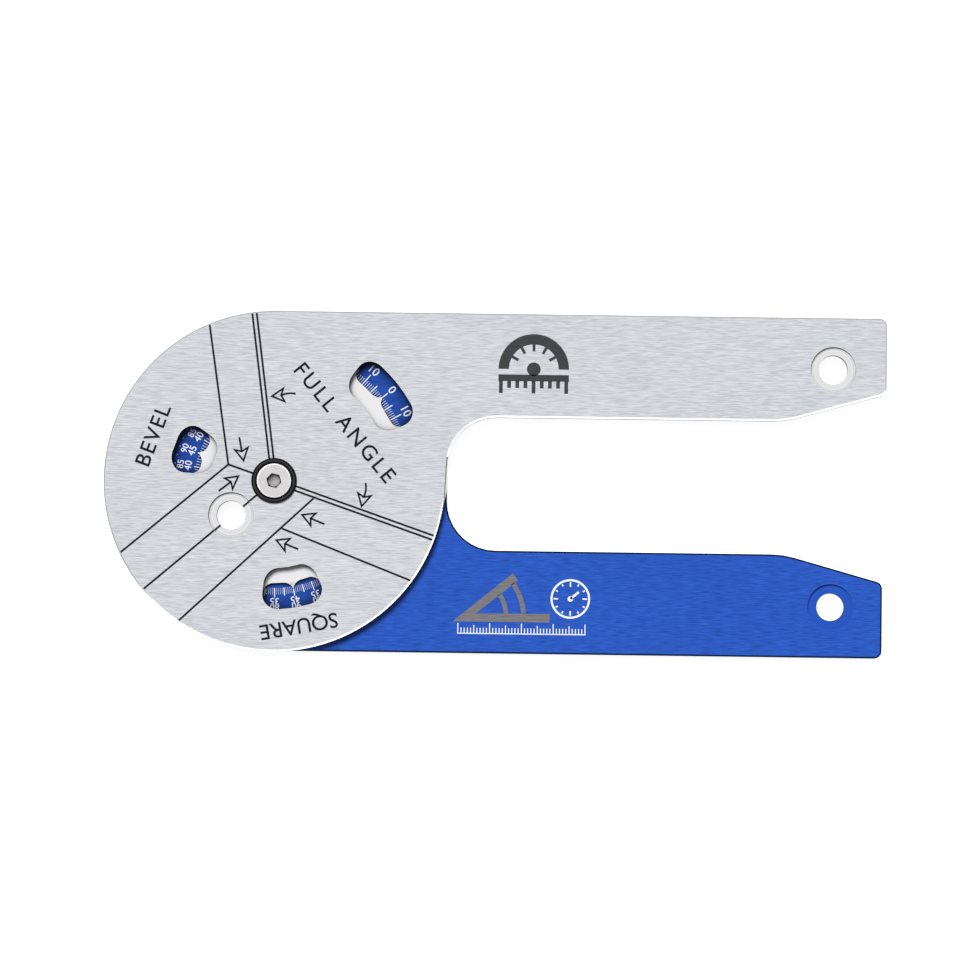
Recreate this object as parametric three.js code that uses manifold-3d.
// Two-leg angle gauge: an upper and a lower aluminium leg, each a round disc with a straight arm, turning on
// one pivot. Windows in the upper disc read scales marked on the lower disc. Millimetres, +Z up. The origin
// is on the pivot axis, at the underside of the lower leg. At rest the arms are parallel and run along +X.

import * as THREE from "three";
import { mergeVertices } from "three/addons/utils/BufferGeometryUtils.js";
import Module from "manifold-3d";

const wasm = await Module();
wasm.setup();

// ---- Driving dimensions, mm ----

const UPPER_LEG = { discR: 59, armEnd: 211.5, chamfer: 0.55 };
const LOWER_LEG = { discR: 58.6, armEnd: 210.9, chamfer: 0.55 };
const ARM_INNER = 23;
const LEG_T = 4;
const LEG_GAP = 0.3;

const THROAT_X = 59.8;
const THROAT_LAND_END = 2.5;
const THROAT_LAND_ROUND = 10;
const THROAT_FILLET = 17;
const TAPER_START = 176.5;
const TAPER_DEG = 15.5;
const TAPER_BLEND = 30;
const CORNER_R = 2.5;
const LEDGE_DEPTH = 1.2;
const LEDGE_HALF = 9;
const LEDGE_LEAN = 0.5;

const HOLE_R = 5;
const RECESS_R = 7.9;
const RECESS_DEPTH = 1;
const ARM_HOLE = { x: 193, y: 41 };
const DISC_HOLE = { r: 19, deg: 219.3 };
const CLEARANCE_HOLE_R = 6;
const LOWER_ARM_HOLE_R = 4.75;

// The three reading windows of the upper disc, from the pivot outwards. Each window's cusp points along deg.
// The window's middle lies aside from the cusp, clockwise, by this much.
const WINDOWS = [
  { deg: 38.7, inner: 40, lobe: 45.2, outer: 54.3, aside: -0.3 },
  { deg: 160.3, inner: 21.9, lobe: 26, outer: 36.6, aside: 0 },
  { deg: 280.9, inner: 30.2, lobe: 35.3, outer: 44.5, aside: 0.5 },
];
const WINDOW_HALF_DEG = 15.2;
const WINDOW_CORNER = 5.4;
const LOBE_CORNER = 3.4;
const CUSP_FLANK_R = 3.3;
const CUSP_FLANK_END_DEG = -15;
const CUSP_TIP_HALF = 0.06;
const CUSP_SLOPE_START = 0.3;
const CUSP_SLOPE_DROP = 1.05;
const CUSP_STEPS = 5;
const WINDOW_FLOOR = 1;

// Pivot hardware: an M6 countersunk socket screw in a slotted flange nut.
const SCREW_HEAD_R = 5.9;
const SCREW_RIM = 0.3;
const RIM_CHAMFER = { across: 0.4, down: 0.2 };
const THREAD_R = 2.95;
const THREAD_CHAMFER = 0.5;
const HEX_AF = 4.7;
const HEX_DEPTH = 2;
const HEX_TURN_DEG = 47;
const DRILL_POINT = { r: 2.1, depth: 0.9 };
const HEAD_PROUD = 1.1;
const NUT_BORE_R = 3.05;
const NUT_BARREL_R = 3.95;
const NUT_FLANGE_R = 7.7;
const NUT_FLANGE_Z = 0.15;
const NUT_FLANGE_CHAMFER = 0.15;
const NUT_RISE = 0.9;
const NUT_CHAMFER = 0.3;
const NUT_SLOT = { width: 1.4, depth: 0.45 };
const SLEEVE = { inner: 4.05, outer: 4.95, headroom: 0.3 };
const FRICTION_WASHER = { clearance: 0.35, outer: 12.5, gap: 0.02 };
const WAVE_WASHER = {
  inner: 5.5,
  outer: 7.5,
  thickness: 0.17,
  rise: 0.05,
  waves: 3,
  count: 48,
  lift: 0.04,
};
const CUP_R = 7.8;
const CUP_LIFT = 0.35;
const CUP_PROUD = 1.4;
const CUP_CHAMFER = 0.2;
const CUP_CLEARANCE = 0.2;
const CUP_SHOULDER = 0.1;
const FIT_GAP = 0.05;

// ---- Derived sizes ----

const CUSP_HEIGHT = CUSP_FLANK_R * (1 + Math.sin(THREE.MathUtils.degToRad(CUSP_FLANK_END_DEG)));

const LOWER_TOP = LEG_T;
const UPPER_BASE = LEG_T + LEG_GAP;
const UPPER_TOP = UPPER_BASE + LEG_T;
const SEAT_Z = UPPER_TOP - RECESS_DEPTH;
const CUP_BASE_Z = SEAT_Z + CUP_LIFT;
const CUP_TOP_Z = UPPER_TOP + CUP_PROUD;
const HEAD_TOP_Z = UPPER_TOP + HEAD_PROUD;
const HEAD_CONE_TOP = HEAD_TOP_Z - SCREW_RIM;
const HEAD_CONE_BASE = HEAD_CONE_TOP - (SCREW_HEAD_R - THREAD_R);

const TURN = 2 * Math.PI;
const DISC_STEP = THREE.MathUtils.degToRad(3);
const CORNER_STEP = THREE.MathUtils.degToRad(11);
const ROUND_SEGMENTS = 56;
const DISC_SEGMENTS = 120;
const BEND_STEP = 4;
const OVERCUT = 1;

// ---- Solids ----

// A closed geometry as a manifold solid.
function solidOf(geometry) {
  const bare = geometry.index ? geometry.toNonIndexed() : geometry.clone();
  bare.deleteAttribute("normal");
  bare.deleteAttribute("uv");
  const merged = mergeVertices(bare, 1e-4);
  return new wasm.Manifold(
    new wasm.Mesh({
      numProp: 3,
      vertProperties: merged.attributes.position.array,
      triVerts: new Uint32Array(merged.index.array),
    }),
  );
}

// A manifold solid back as a three.js geometry.
function geometryOf(solid) {
  const mesh = solid.getMesh();
  const geometry = new THREE.BufferGeometry();
  geometry.setAttribute("position", new THREE.BufferAttribute(mesh.vertProperties, 3));
  geometry.setIndex(new THREE.BufferAttribute(mesh.triVerts, 1));
  geometry.computeVertexNormals();
  return geometry;
}

// Points [x, y] extruded from z0 to z1, with the same chamfer round both faces.
function prism(points, z0, z1, chamfer = 0) {
  const shape = new THREE.Shape(points.map(([x, y]) => new THREE.Vector2(x, y)));
  const geometry = new THREE.ExtrudeGeometry(shape, {
    depth: z1 - z0 - 2 * chamfer,
    steps: 1,
    bevelEnabled: chamfer > 0,
    bevelThickness: chamfer,
    bevelSize: chamfer,
    bevelOffset: -chamfer,
    bevelSegments: 1,
  });
  return solidOf(geometry.translate(0, 0, z0 + chamfer));
}

// A profile of [r, z] turned round the Z axis. It starts and ends on the axis, or closes on itself.
function turned(profile, segments = ROUND_SEGMENTS) {
  const points = profile.map(([r, z]) => new THREE.Vector2(r, z));
  return solidOf(new THREE.LatheGeometry(points, segments).rotateX(Math.PI / 2));
}

function disc(radius, z0, z1) {
  return turned([[0, z0], [radius, z0], [radius, z1], [0, z1]]);
}

function ring(inner, outer, z0, z1) {
  return turned([[inner, z0], [outer, z0], [outer, z1], [inner, z1], [inner, z0]]);
}

// ---- Outlines ----

// A polygon of {x, y, r} corners, each rounded to its own radius r.
function roundedCorners(corners, closed = true) {
  const out = [];
  corners.forEach((corner, i) => {
    const here = new THREE.Vector2(corner.x, corner.y);
    const ends = !closed && (i === 0 || i === corners.length - 1);
    if (ends || !corner.r) {
      out.push([here.x, here.y]);
      return;
    }
    const before = corners[(i + corners.length - 1) % corners.length];
    const after = corners[(i + 1) % corners.length];
    const back = new THREE.Vector2(before.x, before.y).sub(here).normalize();
    const ahead = new THREE.Vector2(after.x, after.y).sub(here).normalize();
    const half = Math.acos(THREE.MathUtils.clamp(back.dot(ahead), -1, 1)) / 2;
    const inward = back.clone().add(ahead).normalize();
    const centre = here.clone().addScaledVector(inward, corner.r / Math.sin(half));
    const first = here.clone().addScaledVector(back, corner.r / Math.tan(half)).sub(centre);
    const sweep = (Math.PI - 2 * half) * Math.sign(ahead.cross(back));
    const steps = Math.max(2, Math.ceil(Math.abs(sweep) / CORNER_STEP));
    for (let k = 0; k <= steps; k++) {
      const p = first.clone().rotateAround(new THREE.Vector2(), (sweep * k) / steps).add(centre);
      out.push([p.x, p.y]);
    }
  });
  return out;
}

// A leg seen from above, its arm on the +Y side: the throat, the arm, then the disc's arc back to the throat.
function legOutline({ discR, armEnd }) {
  const taper = Math.tan(THREE.MathUtils.degToRad(TAPER_DEG));
  const landAngle = Math.atan2(-THROAT_LAND_END, THROAT_X);
  const tangent = landAngle - Math.acos(discR / Math.hypot(THROAT_X, THROAT_LAND_END));
  const corners = [
    { x: discR * Math.cos(tangent), y: discR * Math.sin(tangent) },
    { x: THROAT_X, y: -THROAT_LAND_END, r: THROAT_LAND_ROUND },
    { x: THROAT_X, y: ARM_INNER, r: THROAT_FILLET },
    { x: TAPER_START, y: ARM_INNER, r: TAPER_BLEND },
    { x: armEnd, y: ARM_INNER + (armEnd - TAPER_START) * taper, r: CORNER_R },
    { x: armEnd, y: discR, r: CORNER_R },
    { x: 0, y: discR },
  ];
  const points = roundedCorners(corners, false);
  const start = Math.PI / 2;
  const end = tangent + TURN;
  const steps = Math.ceil((end - start) / DISC_STEP);
  for (let k = 1; k < steps; k++) {
    const a = start + ((end - start) * k) / steps;
    points.push([discR * Math.cos(a), discR * Math.sin(a)]);
  }
  return points;
}

// Bends points [across, radius] round the pivot, about the direction deg.
function bent(points, deg, middle) {
  const direction = THREE.MathUtils.degToRad(deg);
  return points.map(([across, radius]) => {
    const a = direction - across / middle;
    return [radius * Math.cos(a), radius * Math.sin(a)];
  });
}

// Adds points along straight runs, so that they still curve once they are bent.
function subdivided(points, length) {
  return points.flatMap(([x, y], i) => {
    const [nx, ny] = points[(i + 1) % points.length];
    const steps = Math.max(1, Math.round(Math.hypot(nx - x, ny - y) / length));
    const at = (k) => [x + ((nx - x) * k) / steps, y + ((ny - y) * k) / steps];
    return Array.from({ length: steps }, (_, k) => at(k));
  });
}

function windowSides(w) {
  const half = THREE.MathUtils.degToRad(WINDOW_HALF_DEG) * windowMiddle(w);
  return [w.aside - half, w.aside + half];
}

function windowMiddle(w) {
  return (w.inner + w.outer) / 2;
}

// The whole window, as milled down to its thin floor.
function pocketOutline(w) {
  const [left, right] = windowSides(w);
  const box = [
    { x: left, y: w.outer, r: WINDOW_CORNER },
    { x: left, y: w.inner, r: WINDOW_CORNER },
    { x: right, y: w.inner, r: WINDOW_CORNER },
    { x: right, y: w.outer, r: WINDOW_CORNER },
  ];
  return bent(subdivided(roundedCorners(box), BEND_STEP), w.deg, windowMiddle(w));
}

// The opening through the floor: two lobes that leave a pointed cusp between them.
function lobesOutline(w) {
  const [left, right] = windowSides(w);
  const side = [];
  const flankEnd = THREE.MathUtils.degToRad(CUSP_FLANK_END_DEG);
  const centreX = CUSP_TIP_HALF + CUSP_FLANK_R * Math.cos(flankEnd);
  for (let k = 0; k <= CUSP_STEPS; k++) {
    const a = -Math.PI / 2 + ((flankEnd + Math.PI / 2) * k) / CUSP_STEPS;
    side.push([CUSP_FLANK_R * Math.cos(a) - centreX, w.lobe + CUSP_FLANK_R * (1 + Math.sin(a))]);
  }
  const cusp = [...side, ...side.map(([x, y]) => [-x, y]).reverse()];
  const corners = roundedCorners([
    { x: right, y: w.lobe, r: LOBE_CORNER },
    { x: right, y: w.outer, r: WINDOW_CORNER },
    { x: left, y: w.outer, r: WINDOW_CORNER },
    { x: left, y: w.lobe, r: LOBE_CORNER },
  ]);
  return bent(subdivided([...corners, ...cusp], BEND_STEP), w.deg, windowMiddle(w));
}

// ---- Legs ----

// A through hole at x, y with a shallow round recess round it, on the face at faceZ.
function recessedHole(x, y, base, faceZ, boreR = HOLE_R) {
  const side = faceZ > base ? 1 : -1;
  const floor = faceZ - side * RECESS_DEPTH;
  const clear = faceZ + side * OVERCUT;
  const recess = disc(RECESS_R, Math.min(floor, clear), Math.max(floor, clear));
  const bore = disc(boreR, Math.min(base, faceZ) - OVERCUT, Math.max(base, faceZ) + OVERCUT);
  return recess.add(bore).translate(x, y, 0);
}

function polar({ r, deg }) {
  const a = THREE.MathUtils.degToRad(deg);
  return [r * Math.cos(a), r * Math.sin(a)];
}

// Takes the upper edge of the throat down to a narrow ledge. The ledge follows the disc's own circle on the
// -Y side, and a line that leans away from it on the +Y side.
function ledgeCutter() {
  const { discR } = UPPER_LEG;
  const outside = discR + OVERCUT + LEDGE_LEAN;
  const area = [
    [discR - OVERCUT, 0],
    [discR - OVERCUT, -LEDGE_HALF],
    [outside, -LEDGE_HALF],
    [outside, LEDGE_HALF],
    [discR + LEDGE_LEAN, LEDGE_HALF],
    [discR, 0],
  ];
  const kept = turned(
    [
      [0, SEAT_Z - LEDGE_DEPTH],
      [discR, SEAT_Z - LEDGE_DEPTH],
      [discR, UPPER_TOP + 2 * OVERCUT],
      [0, UPPER_TOP + 2 * OVERCUT],
    ],
    DISC_SEGMENTS,
  );
  return prism(area, UPPER_TOP - LEDGE_DEPTH, UPPER_TOP + OVERCUT).subtract(kept);
}

// Slopes the top of a window's cusp down towards its tip.
function cuspCutter(w) {
  const base = UPPER_BASE + WINDOW_FLOOR;
  const tip = w.lobe + CUSP_HEIGHT;
  const profile = [
    [w.lobe + CUSP_SLOPE_START, base],
    [tip + OVERCUT, base - CUSP_SLOPE_DROP],
    [tip + OVERCUT, base + OVERCUT],
    [w.lobe, base + OVERCUT],
  ];
  const width = 2 * CUSP_HEIGHT;
  const shape = new THREE.Shape(profile.map(([r, z]) => new THREE.Vector2(r, z)));
  const wedge = new THREE.ExtrudeGeometry(shape, { depth: width, bevelEnabled: false });
  wedge.translate(0, 0, -width / 2).rotateX(Math.PI / 2);
  wedge.rotateZ(THREE.MathUtils.degToRad(w.deg));
  return solidOf(wedge);
}

function upperLeg() {
  let leg = prism(legOutline(UPPER_LEG), UPPER_BASE, UPPER_TOP, UPPER_LEG.chamfer);
  leg = leg.subtract(ledgeCutter());
  leg = leg.subtract(recessedHole(0, 0, UPPER_BASE, UPPER_TOP));
  leg = leg.subtract(recessedHole(...polar(DISC_HOLE), UPPER_BASE, UPPER_TOP));
  leg = leg.subtract(recessedHole(ARM_HOLE.x, ARM_HOLE.y, UPPER_BASE, UPPER_TOP));
  for (const w of WINDOWS) {
    leg = leg.subtract(prism(pocketOutline(w), UPPER_BASE + WINDOW_FLOOR, UPPER_TOP + OVERCUT));
    leg = leg.subtract(prism(lobesOutline(w), UPPER_BASE - OVERCUT, UPPER_TOP + OVERCUT));
    leg = leg.subtract(cuspCutter(w));
  }
  return leg;
}

function lowerLeg() {
  const mirrored = legOutline(LOWER_LEG).map(([x, y]) => [x, -y]);
  let leg = prism(mirrored, 0, LOWER_TOP, LOWER_LEG.chamfer);
  leg = leg.subtract(recessedHole(0, 0, LOWER_TOP, 0));
  leg = leg.subtract(recessedHole(...polar(DISC_HOLE), LOWER_TOP, 0, CLEARANCE_HOLE_R));
  return leg.subtract(recessedHole(ARM_HOLE.x, -ARM_HOLE.y, 0, LOWER_TOP, LOWER_ARM_HOLE_R));
}

// ---- Pivot hardware ----

function pivotScrew() {
  const body = turned([
    [0, 0],
    [THREAD_R - THREAD_CHAMFER, 0],
    [THREAD_R, THREAD_CHAMFER],
    [THREAD_R, HEAD_CONE_BASE],
    [SCREW_HEAD_R, HEAD_CONE_TOP],
    [SCREW_HEAD_R, HEAD_TOP_Z - RIM_CHAMFER.down],
    [SCREW_HEAD_R - RIM_CHAMFER.across, HEAD_TOP_Z],
    [0, HEAD_TOP_Z],
  ]);
  const cornerR = HEX_AF / Math.sqrt(3);
  const hex = Array.from({ length: 6 }, (_, k) => {
    const a = THREE.MathUtils.degToRad(HEX_TURN_DEG + 60 * k);
    return [cornerR * Math.cos(a), cornerR * Math.sin(a)];
  });
  const floor = HEAD_TOP_Z - HEX_DEPTH;
  const drillTop = floor + FIT_GAP;
  const drillPoint = turned([[0, floor - DRILL_POINT.depth], [DRILL_POINT.r, drillTop], [0, drillTop]]);
  return body.subtract(prism(hex, floor, HEAD_TOP_Z + OVERCUT)).subtract(drillPoint);
}

// The black collar round the screw's head: a conical seat inside, a rounded top outside.
function cupWasher() {
  const seatBase = THREAD_R + CUP_BASE_Z - HEAD_CONE_BASE + CUP_CLEARANCE;
  const seatTop = SCREW_HEAD_R + CUP_CLEARANCE;
  const profile = [
    [seatBase, CUP_BASE_Z],
    [CUP_R - CUP_CHAMFER, CUP_BASE_Z],
    [CUP_R, CUP_BASE_Z + CUP_CHAMFER],
  ];
  const shoulder = HEAD_CONE_TOP - CUP_SHOULDER;
  const middle = (CUP_R + seatTop) / 2;
  const half = (CUP_R - seatTop) / 2;
  const steps = 8;
  for (let k = 0; k <= steps; k++) {
    const a = (k * Math.PI) / steps;
    profile.push([middle + half * Math.cos(a), shoulder + (CUP_TOP_Z - shoulder) * Math.sin(a)]);
  }
  profile.push([seatBase, CUP_BASE_Z]);
  return turned(profile);
}

// A thin ring spring whose height rises and falls a few times a turn.
function waveWasher() {
  const { inner, outer, thickness, rise, waves, count, lift } = WAVE_WASHER;
  const positions = [];
  const index = [];
  for (let i = 0; i < count; i++) {
    const a = (i * TURN) / count;
    const z = SEAT_Z + lift + rise * (1 + Math.cos(waves * a));
    for (const [r, dz] of [[inner, 0], [outer, 0], [outer, thickness], [inner, thickness]]) {
      positions.push(r * Math.cos(a), r * Math.sin(a), z + dz);
    }
    const here = 4 * i;
    const next = 4 * ((i + 1) % count);
    for (let k = 0; k < 4; k++) {
      const m = (k + 1) % 4;
      index.push(here + k, next + m, here + m, here + k, next + k, next + m);
    }
  }
  const geometry = new THREE.BufferGeometry();
  geometry.setAttribute("position", new THREE.Float32BufferAttribute(positions, 3));
  geometry.setIndex(index);
  return solidOf(geometry);
}

function pivotNut() {
  const top = LOWER_TOP + NUT_RISE;
  const flangeTop = RECESS_DEPTH - FIT_GAP;
  const body = turned([
    [NUT_BORE_R, NUT_FLANGE_Z],
    [NUT_FLANGE_R - NUT_FLANGE_CHAMFER, NUT_FLANGE_Z],
    [NUT_FLANGE_R, NUT_FLANGE_Z + NUT_FLANGE_CHAMFER],
    [NUT_FLANGE_R, flangeTop],
    [NUT_BARREL_R, flangeTop],
    [NUT_BARREL_R, top - NUT_CHAMFER],
    [NUT_BARREL_R - NUT_CHAMFER, top],
    [NUT_BORE_R, top],
    [NUT_BORE_R, NUT_FLANGE_Z],
  ]);
  const slot = new THREE.BoxGeometry(4 * NUT_FLANGE_R, NUT_SLOT.width, 2 * NUT_SLOT.depth);
  return body.subtract(solidOf(slot.translate(0, 0, NUT_FLANGE_Z)));
}

function pivotSleeve() {
  return ring(SLEEVE.inner, SLEEVE.outer, RECESS_DEPTH + FIT_GAP, SEAT_Z - SLEEVE.headroom);
}

function frictionWasher() {
  const { clearance, outer, gap } = FRICTION_WASHER;
  return ring(SLEEVE.outer + clearance, outer, LOWER_TOP + gap, UPPER_BASE - gap);
}

// ---- Materials and assembly ----

function finish(color, roughness, metalness) {
  return new THREE.MeshStandardMaterial({ color, roughness, metalness });
}

const silverAnodised = finish(0xd6dae2, 0.38, 0.9);
const blueAnodised = finish(0x2a5bc8, 0.4, 0.7);
const blackAcetal = finish(0x1c1c1f, 0.45, 0);
const stainless = finish(0xc9c4c4, 0.3, 1);
const whitePtfe = finish(0xf0f0ec, 0.6, 0);
const springSteel = finish(0x8d8f93, 0.35, 1);

function piece(name, solid, material) {
  const mesh = new THREE.Mesh(geometryOf(solid), material);
  mesh.name = name;
  return mesh;
}

const angleGauge = new THREE.Group();
angleGauge.add(
  piece("lower_leg", lowerLeg(), blueAnodised),
  piece("upper_leg", upperLeg(), silverAnodised),
  piece("pivot_screw", pivotScrew(), stainless),
  piece("cup_washer", cupWasher(), blackAcetal),
  piece("wave_washer", waveWasher(), springSteel),
  piece("friction_washer", frictionWasher(), whitePtfe),
  piece("pivot_sleeve", pivotSleeve(), stainless),
  piece("pivot_nut", pivotNut(), stainless),
);

export default angleGauge;
